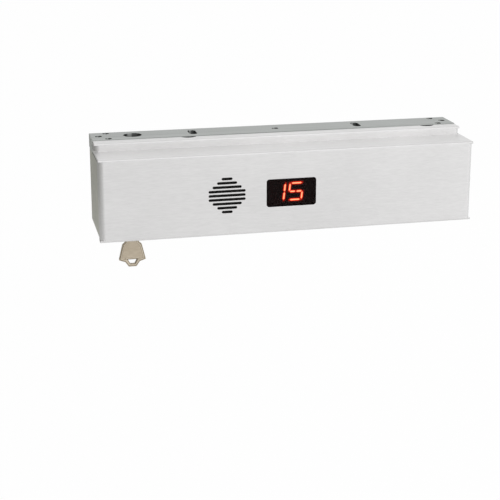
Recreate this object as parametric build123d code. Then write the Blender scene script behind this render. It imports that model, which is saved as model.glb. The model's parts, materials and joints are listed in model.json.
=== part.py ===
from build123d import *
import os
from math import radians, tan

# Electromagnetic door lock with a delay display, a speaker and a key reset switch.
# Millimetres. +X runs along the lock, +Y towards the door and the magnet's face, +Z up to the header.
# The origin is the middle of the mounting plate's top face.

# Outside of the lock
LENGTH = 298.5
FRONT_HEIGHT = 64.5
STEP_HEIGHT = 6.3
LEDGE_DEPTH = 29.6
BAND_DEPTH = 11.0
SHEET = 1.5
END_BEND = 4.2
EDGE_BEND = 1.4
END_RETURN = 8.0
NECK_SETBACK = 0.3

# Clearances
GAP = 0.4
JOINT_GAP = 0.2
RUN_GAP = 0.05
SCREW_GAP = 0.05

# Mounting plate
PLATE_DEPTH = 27.0
PLATE_THICK = 10.65
PLATE_PROUD = 0.45
PLATE_SETBACK = 0.25
PLATE_CHAMFER = 0.5
SHELF_THICK = 3.0
WIRE_HOLE_INSET = 33.25
WIRE_HOLE_R = 7.35
WIRE_CHANNEL_HEIGHT = 5.0
WIRE_CHANNEL_MARGIN = 0.65
HEADER_SLOT_X = 68.0
HEADER_SLOT_WIDTH = 6.5
HEADER_SLOT_LENGTH = 15.2
CENTRE_HOLE_R = 2.8
END_HOLE_R = 2.75
END_PAIR_INSET = 13.25
END_PAIR_Y = 9.6
END_SINGLE_INSET = 6.45

# Round notches in the back edge of the cover's top band
NOTCH_R = 6.9
NOTCH_REACH = 4.1
NOTCH_LEFT_INSET = 75.95
NOTCH_RIGHT_INSET = 24.75

# End plates
END_SHEET = 2.0
END_INSET = 0.4
END_FOLD = 1.8
END_DROP = 1.2
END_SCREW_INSET = 10.25
END_SCREW_Y = 4.2
SMALL_SCREW_R = 1.5
SMALL_HEAD_R = 2.75
SMALL_HEAD_HEIGHT = 2.0
SMALL_SCREW_GRIP = 5.0

# Magnet
MAGNET_END_ROOM = 16.0
MAGNET_DEPTH = 38.0
MAGNET_PROUD = 3.1
MAGNET_WALL = 3.0
MAGNET_END = 12.0
CORE_YOKE = 10.0
CORE_OUTER_LIMB = 9.0
CORE_CENTRE_LIMB = 16.0
COIL_DEPTH = 20.0
COIL_GAP = 0.3
POTTING_RECESS = 0.3
HANGING_SCREW_R = 3.0
HANGING_HEAD_R = 5.0
HANGING_HEAD_HEIGHT = 6.0
HANGING_GRIP = 8.0
HANGING_HEAD_RECESS = 1.0

# Board and what stands on it
BOARD_LENGTH = 205.0
BOARD_HEIGHT = 44.0
BOARD_THICK = 1.6
BOARD_MIDDLE_X = 12.0
BOARD_TOP_ROOM = 6.0
BOARD_HOLE_INSET = 5.0
STANDOFF_LENGTH = 8.0
STANDOFF_R = 3.0
STANDOFF_STUD = 2.0
RELAY = (19.5, 15.5, 15.5)
CHIP = (12.0, 12.0, 1.6)
CAPACITOR_R = 5.0
CAPACITOR_HEIGHT = 12.0
CAPACITOR_PITCH = 13.0
TERMINAL_WAYS = 8
TERMINAL_PITCH = 5.0
TERMINAL_HEIGHT = 10.0
TERMINAL_DEPTH = 13.0
PART_ROOM = 0.75
TERMINAL_SCREW_R = 1.6
TERMINAL_WIRE = 3.2

# Display
WINDOW_WIDTH = 39.7
WINDOW_HEIGHT = 22.2
WINDOW_CORNER = 2.2
WINDOW_RISE = 31.7
WINDOW_FLANGE = 3.0
WINDOW_FLANGE_THICK = 1.0
WINDOW_GAP = 0.15
DISPLAY_X = -3.1
DISPLAY_WIDTH = 30.4
DISPLAY_HEIGHT = 19.0
DISPLAY_DEPTH = 8.0
DISPLAY_GAP = 0.3
DIGIT_PITCH = 14.3
DIGIT_HEIGHT = 15.2
DIGIT_WIDTH = 12.3
DIGIT_SLANT = 8.0
SEGMENT = 1.6
SEGMENT_THICK = 0.2
SEGMENT_SPLIT = 0.25
RISER_WIDTH = 20.0
RISER_HEIGHT = 9.0

# Speaker and its grille
SPEAKER_X = -51.0
SPEAKER_RISE = 32.0
GRILLE_SLOTS = 9
GRILLE_PITCH = 3.28
GRILLE_SLOT = 2.1
GRILLE_SHORT = 8.5
GRILLE_STEP = 7.2
GRILLE_LONG = 29.1
SPEAKER_R = 18.0
SPEAKER_FLANGE = 1.2
SPEAKER_RIM = 2.5
BASKET_DEPTH = 8.0
BASKET_BACK_R = 9.5
BASKET_WALL = 1.0
CONE_THICK = 0.6
CONE_DEPTH = 4.5
DUST_CAP_R = 5.0
SPEAKER_MAGNET_R = 9.0
SPEAKER_MAGNET_HEIGHT = 4.5
GASKET_THICK = 1.4
STUD_R = 1.5
STUD_LENGTH = 7.5
CLIP_THICK = 1.2
CLIP_WIDTH = 8.0
CLIP_BOSS_R = 3.0
CLIP_OVERLAP = 1.2
NUT_ACROSS = 5.5
NUT_HEIGHT = 2.4

# Key switch
KEY_INSET = 25.65
KEY_FROM_FRONT = 14.0
BARREL_R = 9.5
BARREL_HEIGHT = 26.0
BARREL_FLANGE_R = 10.8
BARREL_FLANGE = 0.9
BARREL_EDGE = 0.4
PLUG_R = 6.25
PLUG_HEAD_R = 7.5
PLUG_HEAD = 2.0
PLUG_TAIL_R = 3.0
PLUG_TAIL = 8.0
CLIP_RING_R = 8.0
CLIP_RING_THICK = 0.8
BARREL_NUT_ACROSS = 24.0
BARREL_NUT_HEIGHT = 4.0
WASHER_R = 12.0
WASHER_THICK = 1.0
BLOCK_WIDTH = 21.0
BLOCK_HEIGHT = 14.0
BLOCK_CORNER = 3.0
TERMINAL_LUG = (4.8, 0.8, 7.0)
TERMINAL_LUG_PITCH = 6.0

# Key
KEY_THICK = 2.2
KEY_SLIDE_GAP = 0.1
BLADE_WIDTH = 8.4
BLADE_LENGTH = 25.0
BLADE_TIP = 3.0
BITTING_PITCH = 3.9
BITTING_FIRST = 5.0
BITTING_DEPTHS = (1.2, 2.4, 0.8, 2.0, 1.5)
BITTING_FLAT = 1.0
BOW_TOP_WIDTH = 10.4
BOW_SHOULDER_WIDTH = 15.0
BOW_WIDTH = 20.9
BOW_WAIST_WIDTH = 11.4
BOW_FOOT_WIDTH = 6.0
BOW_TOP_GAP = 0.3
BOW_NECK = 3.0
BOW_SHOULDER = 2.2
BOW_FLARE = 12.2
BOW_DROP = 1.6
BOW_LOOP = 3.9
BOW_HOLE_TOP_WIDTH = 7.4
BOW_HOLE_FOOT_WIDTH = 3.4
BOW_HOLE_HEIGHT = 3.6
BOW_HOLE_WALL = 2.2
BOW_CORNER = 0.5

# Cover brackets and screws
BRACKET_ROOM = 2.5
BRACKET_WIDTH = 16.0
BRACKET_HEIGHT = 16.0
BRACKET_FOOT = 13.0
BRACKET_THICK = 1.5
COVER_SCREW_R = 2.0
COVER_HEAD_R = 3.6
COVER_SCREW_BACK = 4.8
COVER_SCREW_LENGTH = 6.0

# Levels worked out from the sizes above
HALF = LENGTH / 2
X_WIRE = WIRE_HOLE_INSET - HALF
Z_BAND = -PLATE_PROUD
Z_LEDGE = Z_BAND - STEP_HEIGHT
Z_BOTTOM = Z_LEDGE - FRONT_HEIGHT
Z_FLOOR = Z_BOTTOM + SHEET
Z_PLATE = -PLATE_THICK
Z_SHELF = Z_BAND - SHEET
Y_PLATE_FRONT = -PLATE_DEPTH / 2
Y_PLATE_BACK = PLATE_DEPTH / 2
Y_NECK = Y_PLATE_FRONT - BAND_DEPTH
Y_FRONT = Y_NECK - LEDGE_DEPTH
Y_INSIDE = Y_FRONT + SHEET
Y_FACE = Y_PLATE_BACK + MAGNET_PROUD
Y_MAGNET = Y_FACE - MAGNET_DEPTH
X_MAGNET = HALF - MAGNET_END_ROOM
X_CAVITY = X_MAGNET - MAGNET_END
X_HANGING = X_MAGNET - MAGNET_END / 2
Z_MAGNET_MIDDLE = (Z_PLATE + Z_BOTTOM) / 2
Y_BOARD_BACK = Y_MAGNET - STANDOFF_LENGTH
Y_BOARD = Y_BOARD_BACK - BOARD_THICK
Z_BOARD_TOP = Z_PLATE - BOARD_TOP_ROOM
Z_BOARD = Z_BOARD_TOP - BOARD_HEIGHT / 2
X_STANDOFF_RIGHT = BOARD_MIDDLE_X + BOARD_LENGTH / 2 - BOARD_HOLE_INSET
X_STANDOFF_LEFT = BOARD_MIDDLE_X - BOARD_LENGTH / 2 + BOARD_HOLE_INSET
TERMINAL_LENGTH = TERMINAL_WAYS * TERMINAL_PITCH
X_TERMINAL = X_STANDOFF_RIGHT - SMALL_HEAD_R - PART_ROOM - TERMINAL_LENGTH / 2
X_CAPACITORS = X_TERMINAL - TERMINAL_LENGTH / 2 - PART_ROOM - CAPACITOR_R
X_RELAY = X_CAPACITORS - CAPACITOR_R - PART_ROOM - RELAY[0] / 2
Z_WINDOW = Z_BOTTOM + WINDOW_RISE
Z_SPEAKER = Z_BOTTOM + SPEAKER_RISE
Y_WINDOW_BACK = Y_INSIDE + WINDOW_FLANGE_THICK
Y_DISPLAY = Y_WINDOW_BACK + DISPLAY_GAP
Y_KEY = Y_FRONT + KEY_FROM_FRONT
KEY_X = KEY_INSET - HALF
KEY_AXIS = (KEY_X, Y_KEY)
Z_BARREL_FACE = Z_BOTTOM - BARREL_FLANGE
Z_BARREL_TOP = Z_BOTTOM + BARREL_HEIGHT
Z_PLUG_HEAD = Z_BARREL_FACE + PLUG_HEAD
SIDES = (-1, 1)


def block(x, y, z):
    """Box between a low and a high limit along each axis."""
    middle = [(low + high) / 2 for low, high in (x, y, z)]
    size = [high - low for low, high in (x, y, z)]
    return Pos(*middle) * Box(*size)


def upright(radius, z, at):
    """Cylinder along Z between two heights, at a place in X and Y."""
    return Pos(at[0], at[1], sum(z) / 2) * Cylinder(radius, z[1] - z[0])


def crosswise(radius, y, at):
    """Cylinder along Y between two depths, at a place in X and Z."""
    return Pos(at[0], sum(y) / 2, at[1]) * Rot(90, 0, 0) * Cylinder(radius, y[1] - y[0])


def facing_front(sketch, y):
    """A sketch drawn in X and Z, raised between two depths."""
    back = Plane((0, y[1], 0), x_dir=(1, 0, 0), z_dir=(0, -1, 0))
    return extrude(back * sketch, y[1] - y[0])


def along_x(outline, x):
    """An outline of Y and Z points, drawn out along X between two limits."""
    start = Plane((x[0], 0, 0), x_dir=(0, 1, 0), z_dir=(1, 0, 0))
    return extrude(start * Polygon(*outline, align=None), x[1] - x[0])


def span(middle, size):
    """Low and high limit of a size about its middle."""
    return middle - size / 2, middle + size / 2


def flat_cap_screw(radius, head_r, head_height, length, at, z_seat):
    """Cap screw that points up, with its head hanging below its seat and a hexagon socket."""
    head = upright(head_r, (z_seat - head_height, z_seat), at)
    shank = upright(radius, (z_seat, z_seat + length), at)
    hexagon = Pos(at[0], at[1], z_seat - head_height) * RegularPolygon(radius * 0.9, 6)
    socket = extrude(hexagon, head_height / 2)
    return head + shank - socket


def header_hole_places():
    """Places of the three header holes at each end of the mounting plate."""
    places = []
    for side in SIDES:
        pair_x = side * (HALF - END_PAIR_INSET)
        places += [(pair_x, -END_PAIR_Y), (pair_x, END_PAIR_Y)]
        places.append((side * (HALF - END_SINGLE_INSET), 0))
    return places


def end_screw_places(side):
    """Places of the two screws that hold one end plate under the mounting plate."""
    return [(side * (HALF - END_SCREW_INSET), y) for y in (-END_SCREW_Y, END_SCREW_Y)]


def hanging_places():
    """Places of the two long screws that hang the magnet under the mounting plate."""
    return [(side * X_HANGING, (Y_MAGNET + Y_FACE) / 2) for side in SIDES]


def make_mounting_plate():
    """Thick plate with a front shelf for the cover, holes for the header and a wire way below."""
    half = HALF - PLATE_SETBACK
    outline = [
        (Y_PLATE_FRONT, Z_PLATE),
        (Y_PLATE_BACK, Z_PLATE),
        (Y_PLATE_BACK, -PLATE_CHAMFER),
        (Y_PLATE_BACK - PLATE_CHAMFER, 0),
        (Y_PLATE_FRONT + PLATE_CHAMFER, 0),
        (Y_PLATE_FRONT, -PLATE_CHAMFER),
    ]
    plate = along_x(outline, (-half, half))
    shelf_half = HALF - NECK_SETBACK - SHEET - GAP
    shelf_front = Y_NECK + SHEET + JOINT_GAP
    shelf_z = (Z_SHELF - SHELF_THICK, Z_SHELF)
    plate += front_rounded_block(shelf_half, (shelf_front, Y_PLATE_FRONT), END_BEND - SHEET, shelf_z)
    through = (Z_PLATE - 1, 1)
    plate -= upright(WIRE_HOLE_R, through, (X_WIRE, 0))
    plate -= upright(CENTRE_HOLE_R, through, (0, 0))
    for place in header_hole_places():
        plate -= upright(END_HOLE_R, through, place)
    slot = extrude(Rot(0, 0, 90) * SlotOverall(HEADER_SLOT_LENGTH, HEADER_SLOT_WIDTH), PLATE_THICK + 2)
    for side in SIDES:
        plate -= Pos(side * HEADER_SLOT_X, 0, through[0]) * slot
        for place in end_screw_places(side):
            plate -= upright(SMALL_SCREW_R + SCREW_GAP, (Z_PLATE - 1, Z_PLATE + SMALL_SCREW_GRIP), place)
    for place in hanging_places():
        plate -= upright(HANGING_SCREW_R + SCREW_GAP, (Z_PLATE - 1, Z_PLATE + HANGING_GRIP), place)
    channel_half = WIRE_HOLE_R + WIRE_CHANNEL_MARGIN
    channel_x = (X_WIRE - channel_half, X_WIRE + channel_half)
    channel_z = (Z_PLATE - 1, Z_PLATE + WIRE_CHANNEL_HEIGHT)
    plate -= block(channel_x, (Y_PLATE_FRONT - 1, channel_half), channel_z)
    return plate


def front_rounded_block(half, y, bend, z):
    """Block whose two front upright edges are rounded."""
    outline = Pos(0, sum(y) / 2) * Rectangle(2 * half, y[1] - y[0])
    outline = fillet(outline.vertices().group_by(Axis.Y)[0], bend)
    return extrude(Pos(0, 0, z[0]) * outline, z[1] - z[0])


def folded_sheet(half, y, z, edge):
    """Flat sheet with square corners, rounded along one front edge where it is folded."""
    sheet = block((-half, half), y, z)
    fold = sheet.edges().filter_by(Axis.X).group_by(Axis.Y)[0].sort_by(Axis.Z)[edge]
    return fillet(fold, EDGE_BEND)


def bracket_middles():
    """Middles in X of the two cover brackets, each just inside the board's lower standoffs."""
    inside = STANDOFF_R + BRACKET_ROOM + BRACKET_WIDTH / 2
    return X_STANDOFF_LEFT + inside, X_STANDOFF_RIGHT - inside


def cover_screw_places():
    """Places of the screws up through the cover's bottom into its brackets."""
    return [(x, Y_MAGNET - COVER_SCREW_BACK) for x in bracket_middles()]


def countersunk_screw(at, grow):
    """Flat-headed screw that points up from the cover's underside, made larger by a clearance."""
    head = Pos(at[0], at[1], Z_BOTTOM + SHEET / 2) * Cone(COVER_HEAD_R + grow, COVER_SCREW_R + grow, SHEET)
    return head + upright(COVER_SCREW_R + grow, (Z_FLOOR, Z_FLOOR + COVER_SCREW_LENGTH), at)


def grille():
    """Diamond of horizontal slots: each row is one step longer until the longest."""
    rows = Sketch()
    for row in range(GRILLE_SLOTS):
        from_end = min(row, GRILLE_SLOTS - 1 - row)
        length = min(GRILLE_SHORT + GRILLE_STEP * from_end, GRILLE_LONG)
        rise = (row - (GRILLE_SLOTS - 1) / 2) * GRILLE_PITCH
        rows += Pos(SPEAKER_X, Z_SPEAKER + rise) * SlotOverall(length, GRILLE_SLOT)
    return rows


def speaker_stud_places():
    """Places in X and Z of the studs either side of the speaker."""
    return [(SPEAKER_X + side * (SPEAKER_R + CLIP_BOSS_R + GAP), Z_SPEAKER) for side in SIDES]


def make_cover():
    """Folded sheet cover: front, ledge, neck, band and bottom, with rounded returns at both ends."""
    y_back = Y_PLATE_FRONT - JOINT_GAP
    lower_y = (Y_FRONT, y_back)
    neck_y = (Y_NECK, y_back)
    neck_half = HALF - NECK_SETBACK
    neck_z = (Z_LEDGE - SHEET, Z_BAND - SHEET)
    # Bottom, ledge and band keep square corners over the rounded ends
    cover = front_rounded_block(HALF, lower_y, END_BEND, (Z_FLOOR, Z_LEDGE - SHEET))
    cover += folded_sheet(HALF, lower_y, (Z_BOTTOM, Z_FLOOR), 0)
    cover += folded_sheet(HALF, lower_y, (Z_LEDGE - SHEET, Z_LEDGE), -1)
    cover += front_rounded_block(neck_half, neck_y, END_BEND, neck_z)
    cover += folded_sheet(neck_half, neck_y, (Z_BAND - SHEET, Z_BAND), -1)
    bend = END_BEND - SHEET
    inside_y = (Y_INSIDE, y_back + 1)
    cover -= front_rounded_block(HALF - SHEET, inside_y, bend, (Z_FLOOR, Z_LEDGE - SHEET))
    neck_inside_y = (Y_NECK + SHEET, y_back + 1)
    cover -= front_rounded_block(neck_half - SHEET, neck_inside_y, bend, neck_z)
    below_plate = (Z_BOTTOM - 1, Z_PLATE)
    cover -= block((-HALF - 1, HALF + 1), (Y_MAGNET - GAP, y_back + 1), below_plate)
    x_end = HALF - END_INSET - END_SHEET - GAP
    for side in SIDES:
        x = sorted((side * x_end, side * (HALF + 1)))
        cover -= block(x, (Y_FRONT + END_RETURN, y_back + 1), (Z_BOTTOM - 1, Z_LEDGE - SHEET))
    for x in (NOTCH_LEFT_INSET - HALF, HALF - NOTCH_RIGHT_INSET):
        y = Y_PLATE_FRONT - NOTCH_REACH + NOTCH_R
        cover -= upright(NOTCH_R, (Z_SHELF, 1), (x, y))
    window = Pos(0, Z_WINDOW) * RectangleRounded(WINDOW_WIDTH, WINDOW_HEIGHT, WINDOW_CORNER)
    cover -= facing_front(window, (Y_FRONT - 1, Y_INSIDE + 1))
    cover -= facing_front(grille(), (Y_FRONT - 1, Y_INSIDE + 1))
    cover -= upright(BARREL_R + JOINT_GAP, (Z_BOTTOM - 1, Z_FLOOR + 1), KEY_AXIS)
    for place in cover_screw_places():
        cover -= countersunk_screw(place, SCREW_GAP)
    for place in speaker_stud_places():
        cover += crosswise(STUD_R, (Y_INSIDE, Y_INSIDE + STUD_LENGTH), place)
    return cover


def make_end_plate(side):
    """Pressed end with flanges at its top, back and bottom, screwed under the mounting plate."""
    x_out = HALF - END_INSET
    x_in = x_out - END_SHEET
    x_flange = X_MAGNET + GAP
    y_front = Y_FRONT + END_RETURN + GAP
    y_inside = Y_PLATE_BACK - END_SHEET
    plate = block((x_flange, x_out), (Y_MAGNET, Y_PLATE_BACK), (Z_BOTTOM, Z_PLATE))
    plate += block((x_in, x_out), (y_front, Y_MAGNET), (Z_BOTTOM, Z_PLATE))
    folds = plate.faces().sort_by(Axis.X)[-1].edges().sort_by(Axis.Y)[1:]
    plate = fillet(folds, END_FOLD)
    inside_z = (Z_BOTTOM + END_SHEET, Z_PLATE - END_SHEET)
    top_z = (Z_PLATE - END_SHEET - 1, Z_PLATE + 1)
    plate -= block((x_flange - 1, x_in), (Y_MAGNET - 1, y_inside), inside_z)
    # In front of the mounting plate the wall stops a little below the cover's ledge and has no top flange
    plate -= block((x_flange - 1, x_in), (Y_MAGNET - 1, Y_PLATE_FRONT), top_z)
    plate += block((x_in, x_out), (y_front, Y_PLATE_FRONT - GAP), (inside_z[1], Z_LEDGE - SHEET - END_DROP))
    if side < 0:
        plate = mirror(plate, Plane.YZ)
    for place in header_hole_places():
        plate -= upright(END_HOLE_R, top_z, place)
    for place in end_screw_places(side):
        plate -= upright(SMALL_SCREW_R + SCREW_GAP, top_z, place)
    return plate


def make_end_plate_screws():
    """Four small screws up through the end plates' flanges."""
    screws = []
    length = END_SHEET + SMALL_SCREW_GRIP - GAP
    z_seat = Z_PLATE - END_SHEET
    for side in SIDES:
        for place in end_screw_places(side):
            screw = flat_cap_screw(SMALL_SCREW_R, SMALL_HEAD_R, SMALL_HEAD_HEIGHT, length, place, z_seat)
            screws.append(screw)
    return Compound(screws)


def standoff_places():
    """Places in X and Z of the board's four standoffs."""
    half_z = BOARD_HEIGHT / 2 - BOARD_HOLE_INSET
    return [(x, Z_BOARD + side * half_z) for x in (X_STANDOFF_LEFT, X_STANDOFF_RIGHT) for side in SIDES]


def bracket_screw_places():
    """Places in X and Z of the screws that hold the cover brackets to the magnet's housing."""
    return [(x, Z_FLOOR + BRACKET_HEIGHT * 0.6) for x in bracket_middles()]


def make_magnet_housing():
    """Channel with solid ends, open towards the door, bored for the two hanging screws."""
    housing = block((-X_MAGNET, X_MAGNET), (Y_MAGNET, Y_FACE), (Z_BOTTOM, Z_PLATE))
    cavity_z = (Z_BOTTOM + MAGNET_WALL, Z_PLATE - MAGNET_WALL)
    housing -= block((-X_CAVITY, X_CAVITY), (Y_MAGNET + MAGNET_WALL, Y_FACE + 1), cavity_z)
    z_seat = Z_BOTTOM + HANGING_HEAD_RECESS + HANGING_HEAD_HEIGHT
    for place in hanging_places():
        housing -= upright(HANGING_SCREW_R + SCREW_GAP, (Z_BOTTOM - 1, Z_PLATE + 1), place)
        housing -= upright(HANGING_HEAD_R + SCREW_GAP, (Z_BOTTOM - 1, z_seat), place)
    stud_y = (Y_MAGNET - 1, Y_MAGNET + STANDOFF_STUD + GAP)
    for place in standoff_places() + bracket_screw_places():
        housing -= crosswise(SMALL_SCREW_R + SCREW_GAP, stud_y, place)
    return housing


def core_outline():
    """E-shaped section of the core, its three limbs reaching the magnet's face."""
    low = Z_BOTTOM + MAGNET_WALL
    high = Z_PLATE - MAGNET_WALL
    y_back = Y_MAGNET + MAGNET_WALL
    y_yoke = y_back + CORE_YOKE
    centre_low, centre_high = span(Z_MAGNET_MIDDLE, CORE_CENTRE_LIMB)
    return [
        (y_back, low),
        (Y_FACE, low),
        (Y_FACE, low + CORE_OUTER_LIMB),
        (y_yoke, low + CORE_OUTER_LIMB),
        (y_yoke, centre_low),
        (Y_FACE, centre_low),
        (Y_FACE, centre_high),
        (y_yoke, centre_high),
        (y_yoke, high - CORE_OUTER_LIMB),
        (Y_FACE, high - CORE_OUTER_LIMB),
        (Y_FACE, high),
        (y_back, high),
    ]


def coil_thickness():
    """Winding thickness that fills a window of the core, less a gap each side."""
    window = (-Z_BOTTOM + Z_PLATE - 2 * MAGNET_WALL - 2 * CORE_OUTER_LIMB - CORE_CENTRE_LIMB) / 2
    return window - 2 * COIL_GAP


def core_half():
    """Half length of the core, which leaves room for the coil's ends in the cavity."""
    return X_CAVITY - coil_thickness() - 2 * COIL_GAP


def make_magnet_core():
    """Stack of E laminations."""
    return along_x(core_outline(), (-core_half(), core_half()))


def make_magnet_coil():
    """Racetrack winding round the core's centre limb."""
    thickness = coil_thickness()
    inner_length = 2 * (core_half() + COIL_GAP)
    inner_height = CORE_CENTRE_LIMB + 2 * COIL_GAP
    outer = RectangleRounded(inner_length + 2 * thickness, inner_height + 2 * thickness, thickness)
    ring = Pos(0, Z_MAGNET_MIDDLE) * (outer - Rectangle(inner_length, inner_height))
    y_yoke = Y_MAGNET + MAGNET_WALL + CORE_YOKE
    return facing_front(ring, (y_yoke, y_yoke + COIL_DEPTH))


def make_magnet_potting():
    """Resin that closes the magnet's face round the core's limbs, just below their faces."""
    y_coil = Y_MAGNET + MAGNET_WALL + CORE_YOKE + COIL_DEPTH
    cavity_z = (Z_BOTTOM + MAGNET_WALL, Z_PLATE - MAGNET_WALL)
    resin = block((-X_CAVITY, X_CAVITY), (y_coil, Y_FACE - POTTING_RECESS), cavity_z)
    return resin - make_magnet_core()


def make_hanging_screws():
    """Two long cap screws up through the magnet into the mounting plate."""
    z_seat = Z_BOTTOM + HANGING_HEAD_RECESS + HANGING_HEAD_HEIGHT
    length = Z_PLATE + HANGING_GRIP - GAP - z_seat
    sizes = (HANGING_SCREW_R, HANGING_HEAD_R, HANGING_HEAD_HEIGHT, length)
    return Compound([flat_cap_screw(*sizes, place, z_seat) for place in hanging_places()])


def make_cover_brackets():
    """Two folded brackets on the magnet, whose feet take the cover's bottom screws."""
    brackets = []
    leg_y = (Y_MAGNET - BRACKET_THICK - 1, Y_MAGNET + 1)
    for middle in bracket_middles():
        x = span(middle, BRACKET_WIDTH)
        leg = block(x, (Y_MAGNET - BRACKET_THICK, Y_MAGNET), (Z_FLOOR, Z_FLOOR + BRACKET_HEIGHT))
        foot = block(x, (Y_MAGNET - BRACKET_FOOT, Y_MAGNET), (Z_FLOOR, Z_FLOOR + BRACKET_THICK))
        bracket = leg + foot
        for place in cover_screw_places():
            bracket -= upright(COVER_SCREW_R + SCREW_GAP, (Z_FLOOR - 1, Z_FLOOR + BRACKET_THICK + 1), place)
        for place in bracket_screw_places():
            bracket -= crosswise(SMALL_SCREW_R + SCREW_GAP, leg_y, place)
        brackets.append(bracket)
    return Compound(brackets)


def front_screw(place, y_seat, length):
    """Pan-headed screw that points back, with its head in front of its seat."""
    head = crosswise(SMALL_HEAD_R, (y_seat - SMALL_HEAD_HEIGHT, y_seat), place)
    return head + crosswise(SMALL_SCREW_R, (y_seat, y_seat + length), place)


def make_bracket_screws():
    """Screws that hold the cover brackets."""
    y_seat = Y_MAGNET - BRACKET_THICK
    length = BRACKET_THICK + STANDOFF_STUD
    return Compound([front_screw(place, y_seat, length) for place in bracket_screw_places()])


def make_cover_screws():
    """Flat-headed screws flush with the cover's underside."""
    return Compound([countersunk_screw(place, 0) for place in cover_screw_places()])


def make_board_standoffs():
    """Threaded pillars between the magnet's housing and the board."""
    pillars = []
    bore_y = (Y_BOARD_BACK - 1, Y_BOARD_BACK + SMALL_SCREW_GRIP)
    for place in standoff_places():
        pillar = crosswise(STANDOFF_R, (Y_BOARD_BACK, Y_MAGNET), place)
        pillar += crosswise(SMALL_SCREW_R, (Y_MAGNET, Y_MAGNET + STANDOFF_STUD), place)
        pillar -= crosswise(SMALL_SCREW_R + SCREW_GAP, bore_y, place)
        pillars.append(pillar)
    return Compound(pillars)


def make_main_board():
    """Control board behind the front, drilled for its screws."""
    board = block(span(BOARD_MIDDLE_X, BOARD_LENGTH), (Y_BOARD, Y_BOARD_BACK), span(Z_BOARD, BOARD_HEIGHT))
    for place in standoff_places():
        board -= crosswise(SMALL_SCREW_R + SCREW_GAP, (Y_BOARD - 1, Y_BOARD_BACK + 1), place)
    return board


def make_board_screws():
    """Screws through the board into its standoffs."""
    length = BOARD_THICK + SMALL_SCREW_GRIP - GAP
    return Compound([front_screw(place, Y_BOARD, length) for place in standoff_places()])


def on_board(size, x, z):
    """Box that stands on the front of the board: width, height, and reach forward."""
    return block(span(x, size[0]), (Y_BOARD - size[2], Y_BOARD), span(z, size[1]))


def make_relay():
    """Relay that feeds the magnet's coil."""
    relay = on_board(RELAY, X_RELAY, Z_BOARD)
    return fillet(relay.faces().sort_by(Axis.Y)[0].edges(), 0.8)


def make_controller_chip():
    """Square controller chip."""
    chip = on_board(CHIP, X_TERMINAL, Z_BOARD + CHIP[1] / 2)
    return chamfer(chip.faces().sort_by(Axis.Y)[0].edges(), 0.3)


def make_capacitors():
    """Two can capacitors standing on the board."""
    cans = []
    for step in SIDES:
        place = (X_CAPACITORS, Z_BOARD + step * CAPACITOR_PITCH / 2)
        can = crosswise(CAPACITOR_R, (Y_BOARD - CAPACITOR_HEIGHT, Y_BOARD), place)
        cans.append(fillet(can.faces().sort_by(Axis.Y)[0].edges(), 0.8))
    return Compound(cans)


def make_terminal_block():
    """Row of screw terminals along the board's lower edge."""
    z = Z_BOARD - BOARD_HEIGHT / 2 + TERMINAL_HEIGHT
    body = on_board((TERMINAL_LENGTH, TERMINAL_HEIGHT, TERMINAL_DEPTH), X_TERMINAL, z)
    y_front = Y_BOARD - TERMINAL_DEPTH
    for way in range(TERMINAL_WAYS):
        x = X_TERMINAL + (way - (TERMINAL_WAYS - 1) / 2) * TERMINAL_PITCH
        body -= crosswise(TERMINAL_SCREW_R, (y_front - 1, y_front + TERMINAL_DEPTH / 3), (x, z))
        wire_y = span(y_front + TERMINAL_DEPTH * 0.6, TERMINAL_WIRE)
        z_low = z - TERMINAL_HEIGHT / 2
        body -= block(span(x, TERMINAL_WIRE), wire_y, (z_low - 1, z_low + TERMINAL_HEIGHT / 2))
    return body


def make_display_window():
    """Dark lens flush with the front, on a flange behind the cover's sheet."""
    width = WINDOW_WIDTH - 2 * WINDOW_GAP
    height = WINDOW_HEIGHT - 2 * WINDOW_GAP
    lens = Pos(0, Z_WINDOW) * RectangleRounded(width, height, WINDOW_CORNER - WINDOW_GAP)
    flange_width = WINDOW_WIDTH + 2 * WINDOW_FLANGE
    flange_height = WINDOW_HEIGHT + 2 * WINDOW_FLANGE
    flange = Pos(0, Z_WINDOW) * RectangleRounded(flange_width, flange_height, WINDOW_CORNER)
    return facing_front(lens, (Y_FRONT, Y_INSIDE)) + facing_front(flange, (Y_INSIDE, Y_WINDOW_BACK))


def make_display_module():
    """Two-digit display body behind the window."""
    x = span(DISPLAY_X, DISPLAY_WIDTH)
    body = block(x, (Y_DISPLAY, Y_DISPLAY + DISPLAY_DEPTH), span(Z_WINDOW, DISPLAY_HEIGHT))
    return fillet(body.edges().filter_by(Axis.Y), 0.6)


def make_display_riser():
    """Pin header that carries the display on the board."""
    y = (Y_DISPLAY + DISPLAY_DEPTH, Y_BOARD)
    return block(span(DISPLAY_X, RISER_WIDTH), y, span(Z_WINDOW, RISER_HEIGHT))


def segment(name):
    """One segment of an upright digit about its own middle: a bar with pointed ends, laid by its letter."""
    across = DIGIT_WIDTH / 2 - SEGMENT / 2
    up = DIGIT_HEIGHT / 2 - SEGMENT / 2
    middles = {
        "a": (0, up),
        "b": (across, up / 2),
        "c": (across, -up / 2),
        "d": (0, -up),
        "e": (-across, -up / 2),
        "f": (-across, up / 2),
        "g": (-across / 2, 0),
        "h": (across / 2, 0),
    }
    half_lengths = {"a": across, "d": across, "g": across / 2, "h": across / 2}
    half = half_lengths.get(name, up / 2) - SEGMENT_SPLIT
    lies_flat = name in half_lengths
    tip = SEGMENT / 2
    shoulder = half - tip
    outline = [(-half, 0), (-shoulder, tip), (shoulder, tip), (half, 0), (shoulder, -tip), (-shoulder, -tip)]
    if not lies_flat:
        outline = [(z, x) for x, z in outline]
    middle_x, middle_z = middles[name]
    return [(middle_x + x, middle_z + z) for x, z in outline]


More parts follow.
